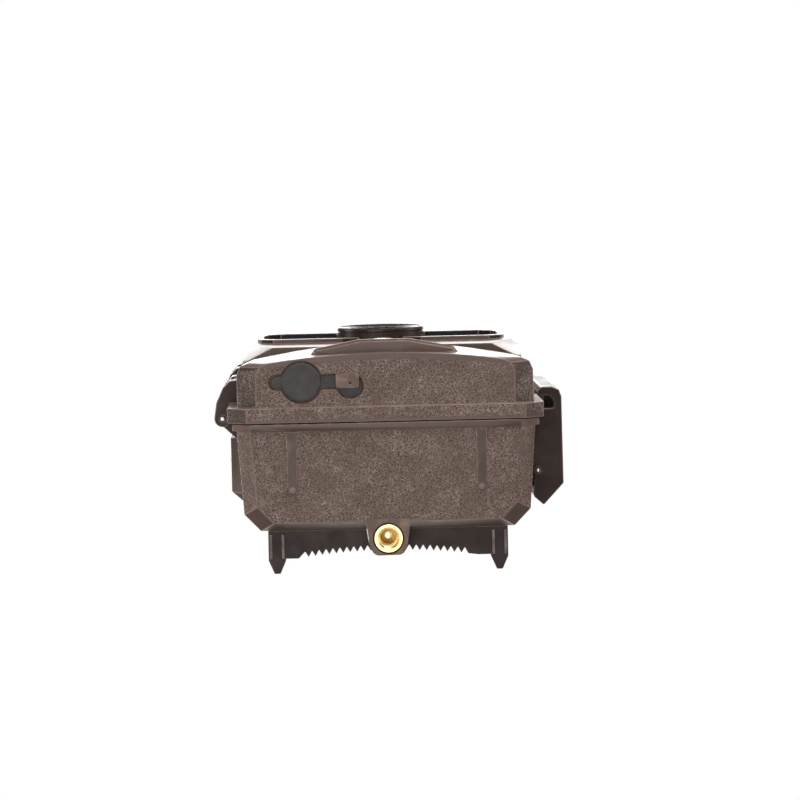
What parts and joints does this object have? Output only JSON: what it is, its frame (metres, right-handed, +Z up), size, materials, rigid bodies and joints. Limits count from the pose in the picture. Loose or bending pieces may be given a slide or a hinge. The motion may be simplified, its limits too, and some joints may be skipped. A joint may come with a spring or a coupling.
{
  "type": "trail camera",
  "caption": "Weatherproof wildlife camera: two hinged half shells with a side latch, infrared windows, motion sensor, battery bay, tripod socket and toothed tree bracket.",
  "frame": {"origin": "on the surface the camera stands on, under the middle of its whole box", "axes": "+Z up, -Y the way the lens looks, +X towards the latch, -X towards the hinge"},
  "size_m": [0.1214, 0.0794, 0.148],
  "materials": {
    "case_plastic": "moulded, fine fibrous bark-like texture, brown",
    "smooth_plastic": "moulded, smooth satin, dark brown",
    "black_plastic": "moulded, satin black",
    "gloss_black": "moulded, glossy black",
    "rubber": "moulded, matt dark grey",
    "brass": "turned and polished",
    "steel": "plain steel",
    "smoked_acrylic": "smoked, polished",
    "clear_glass": "coated optical glass",
    "fresnel": "milky, ribbed",
    "circuit_board": "solder mask, green",
    "screen": "dark display",
    "cell_wrap": "shrink wrap, dark grey",
    "grey_button": "moulded, grey",
    "card_plastic": "moulded, dark blue"
  },
  "bodies": {
    "rear_half": {"rear_shell": "case_plastic", "seam_gasket": "rubber", "tree_bracket": "smooth_plastic", "tripod_insert": "brass", "hinge_pin_1": "steel", "hinge_pin_2": "steel", "latch_pin": "steel", "battery_tray": "black_plastic", "tray_screw_1": "steel", "tray_screw_2": "steel", "tray_screw_3": "steel", "tray_screw_4": "steel", "battery_1": "cell_wrap", "battery_2": "cell_wrap", "battery_3": "cell_wrap", "battery_4": "cell_wrap", "battery_5": "cell_wrap", "battery_6": "cell_wrap", "battery_7": "cell_wrap", "battery_8": "cell_wrap", "contact_strip_low_1": "steel", "contact_strip_high_1": "steel", "contact_strip_low_2": "steel", "contact_strip_high_2": "steel"},
    "front_half": {"front_shell": "case_plastic", "ir_window_left": "smoked_acrylic", "ir_window_right": "smoked_acrylic", "ir_led_board": "circuit_board", "lens_bezel": "gloss_black", "lens_barrel": "gloss_black", "lens_cover_glass": "clear_glass", "lens_element": "clear_glass", "image_sensor": "screen", "pir_lens": "fresnel", "pir_sensor": "steel", "status_led": "clear_glass", "microphone": "steel", "main_board": "circuit_board", "dc_jack": "black_plastic", "port_cover_anchor": "rubber", "inner_panel": "black_plastic", "panel_screw_1": "steel", "panel_screw_2": "steel", "panel_screw_3": "steel", "panel_screw_4": "steel", "display": "screen", "card_socket": "steel", "usb_port": "steel", "speaker": "black_plastic"},
    "latch": {"latch_lever": "smooth_plastic"},
    "cover_flap": {"port_cover": "rubber"},
    "up_key": {"button_up": "grey_button"},
    "down_key": {"button_down": "grey_button"},
    "left_key": {"button_left": "grey_button"},
    "right_key": {"button_right": "grey_button"},
    "ok_key": {"button_ok": "grey_button"},
    "menu_key": {"button_menu": "grey_button"},
    "shot_key": {"button_shot": "grey_button"},
    "mode_switch": {"power_switch": "grey_button"},
    "card": {"memory_card": "card_plastic"}
  },
  "joints": [
    {"name": "door_hinge", "type": "hinge", "parent": "rear_half", "child": "front_half", "pos_m": [-0.0578, -0.01215, 0.074], "axis": [0, 0, -1], "range_deg": [0, 120]},
    {"name": "latch_pivot", "type": "hinge", "parent": "rear_half", "child": "latch", "pos_m": [0.0519, 0.00965, 0.07], "axis": [0, 0, 1], "range_deg": [0, 35]},
    {"name": "cover_flap_hinge", "type": "hinge", "parent": "front_half", "child": "cover_flap", "pos_m": [-0.0213, -0.02605, 0.0015], "axis": [0, -1, 0], "range_deg": [0, 110]},
    {"name": "up_press", "type": "slide", "parent": "front_half", "child": "up_key", "axis": [0, -1, 0], "range_m": [0, 0.0006], "stiffness_N_per_m": 1500},
    {"name": "down_press", "type": "slide", "parent": "front_half", "child": "down_key", "axis": [0, -1, 0], "range_m": [0, 0.0006], "stiffness_N_per_m": 1500},
    {"name": "left_press", "type": "slide", "parent": "front_half", "child": "left_key", "axis": [0, -1, 0], "range_m": [0, 0.0006], "stiffness_N_per_m": 1500},
    {"name": "right_press", "type": "slide", "parent": "front_half", "child": "right_key", "axis": [0, -1, 0], "range_m": [0, 0.0006], "stiffness_N_per_m": 1500},
    {"name": "ok_press", "type": "slide", "parent": "front_half", "child": "ok_key", "axis": [0, -1, 0], "range_m": [0, 0.0006], "stiffness_N_per_m": 1500},
    {"name": "menu_press", "type": "slide", "parent": "front_half", "child": "menu_key", "axis": [0, -1, 0], "range_m": [0, 0.0006], "stiffness_N_per_m": 1500},
    {"name": "shot_press", "type": "slide", "parent": "front_half", "child": "shot_key", "axis": [0, -1, 0], "range_m": [0, 0.0006], "stiffness_N_per_m": 1500},
    {"name": "mode_slide", "type": "slide", "parent": "front_half", "child": "mode_switch", "axis": [0, 0, 1], "range_m": [0, 0.008]},
    {"name": "card_slide", "type": "slide", "parent": "front_half", "child": "card", "axis": [0, 0, -1], "range_m": [0, 0.009]}
  ]
}
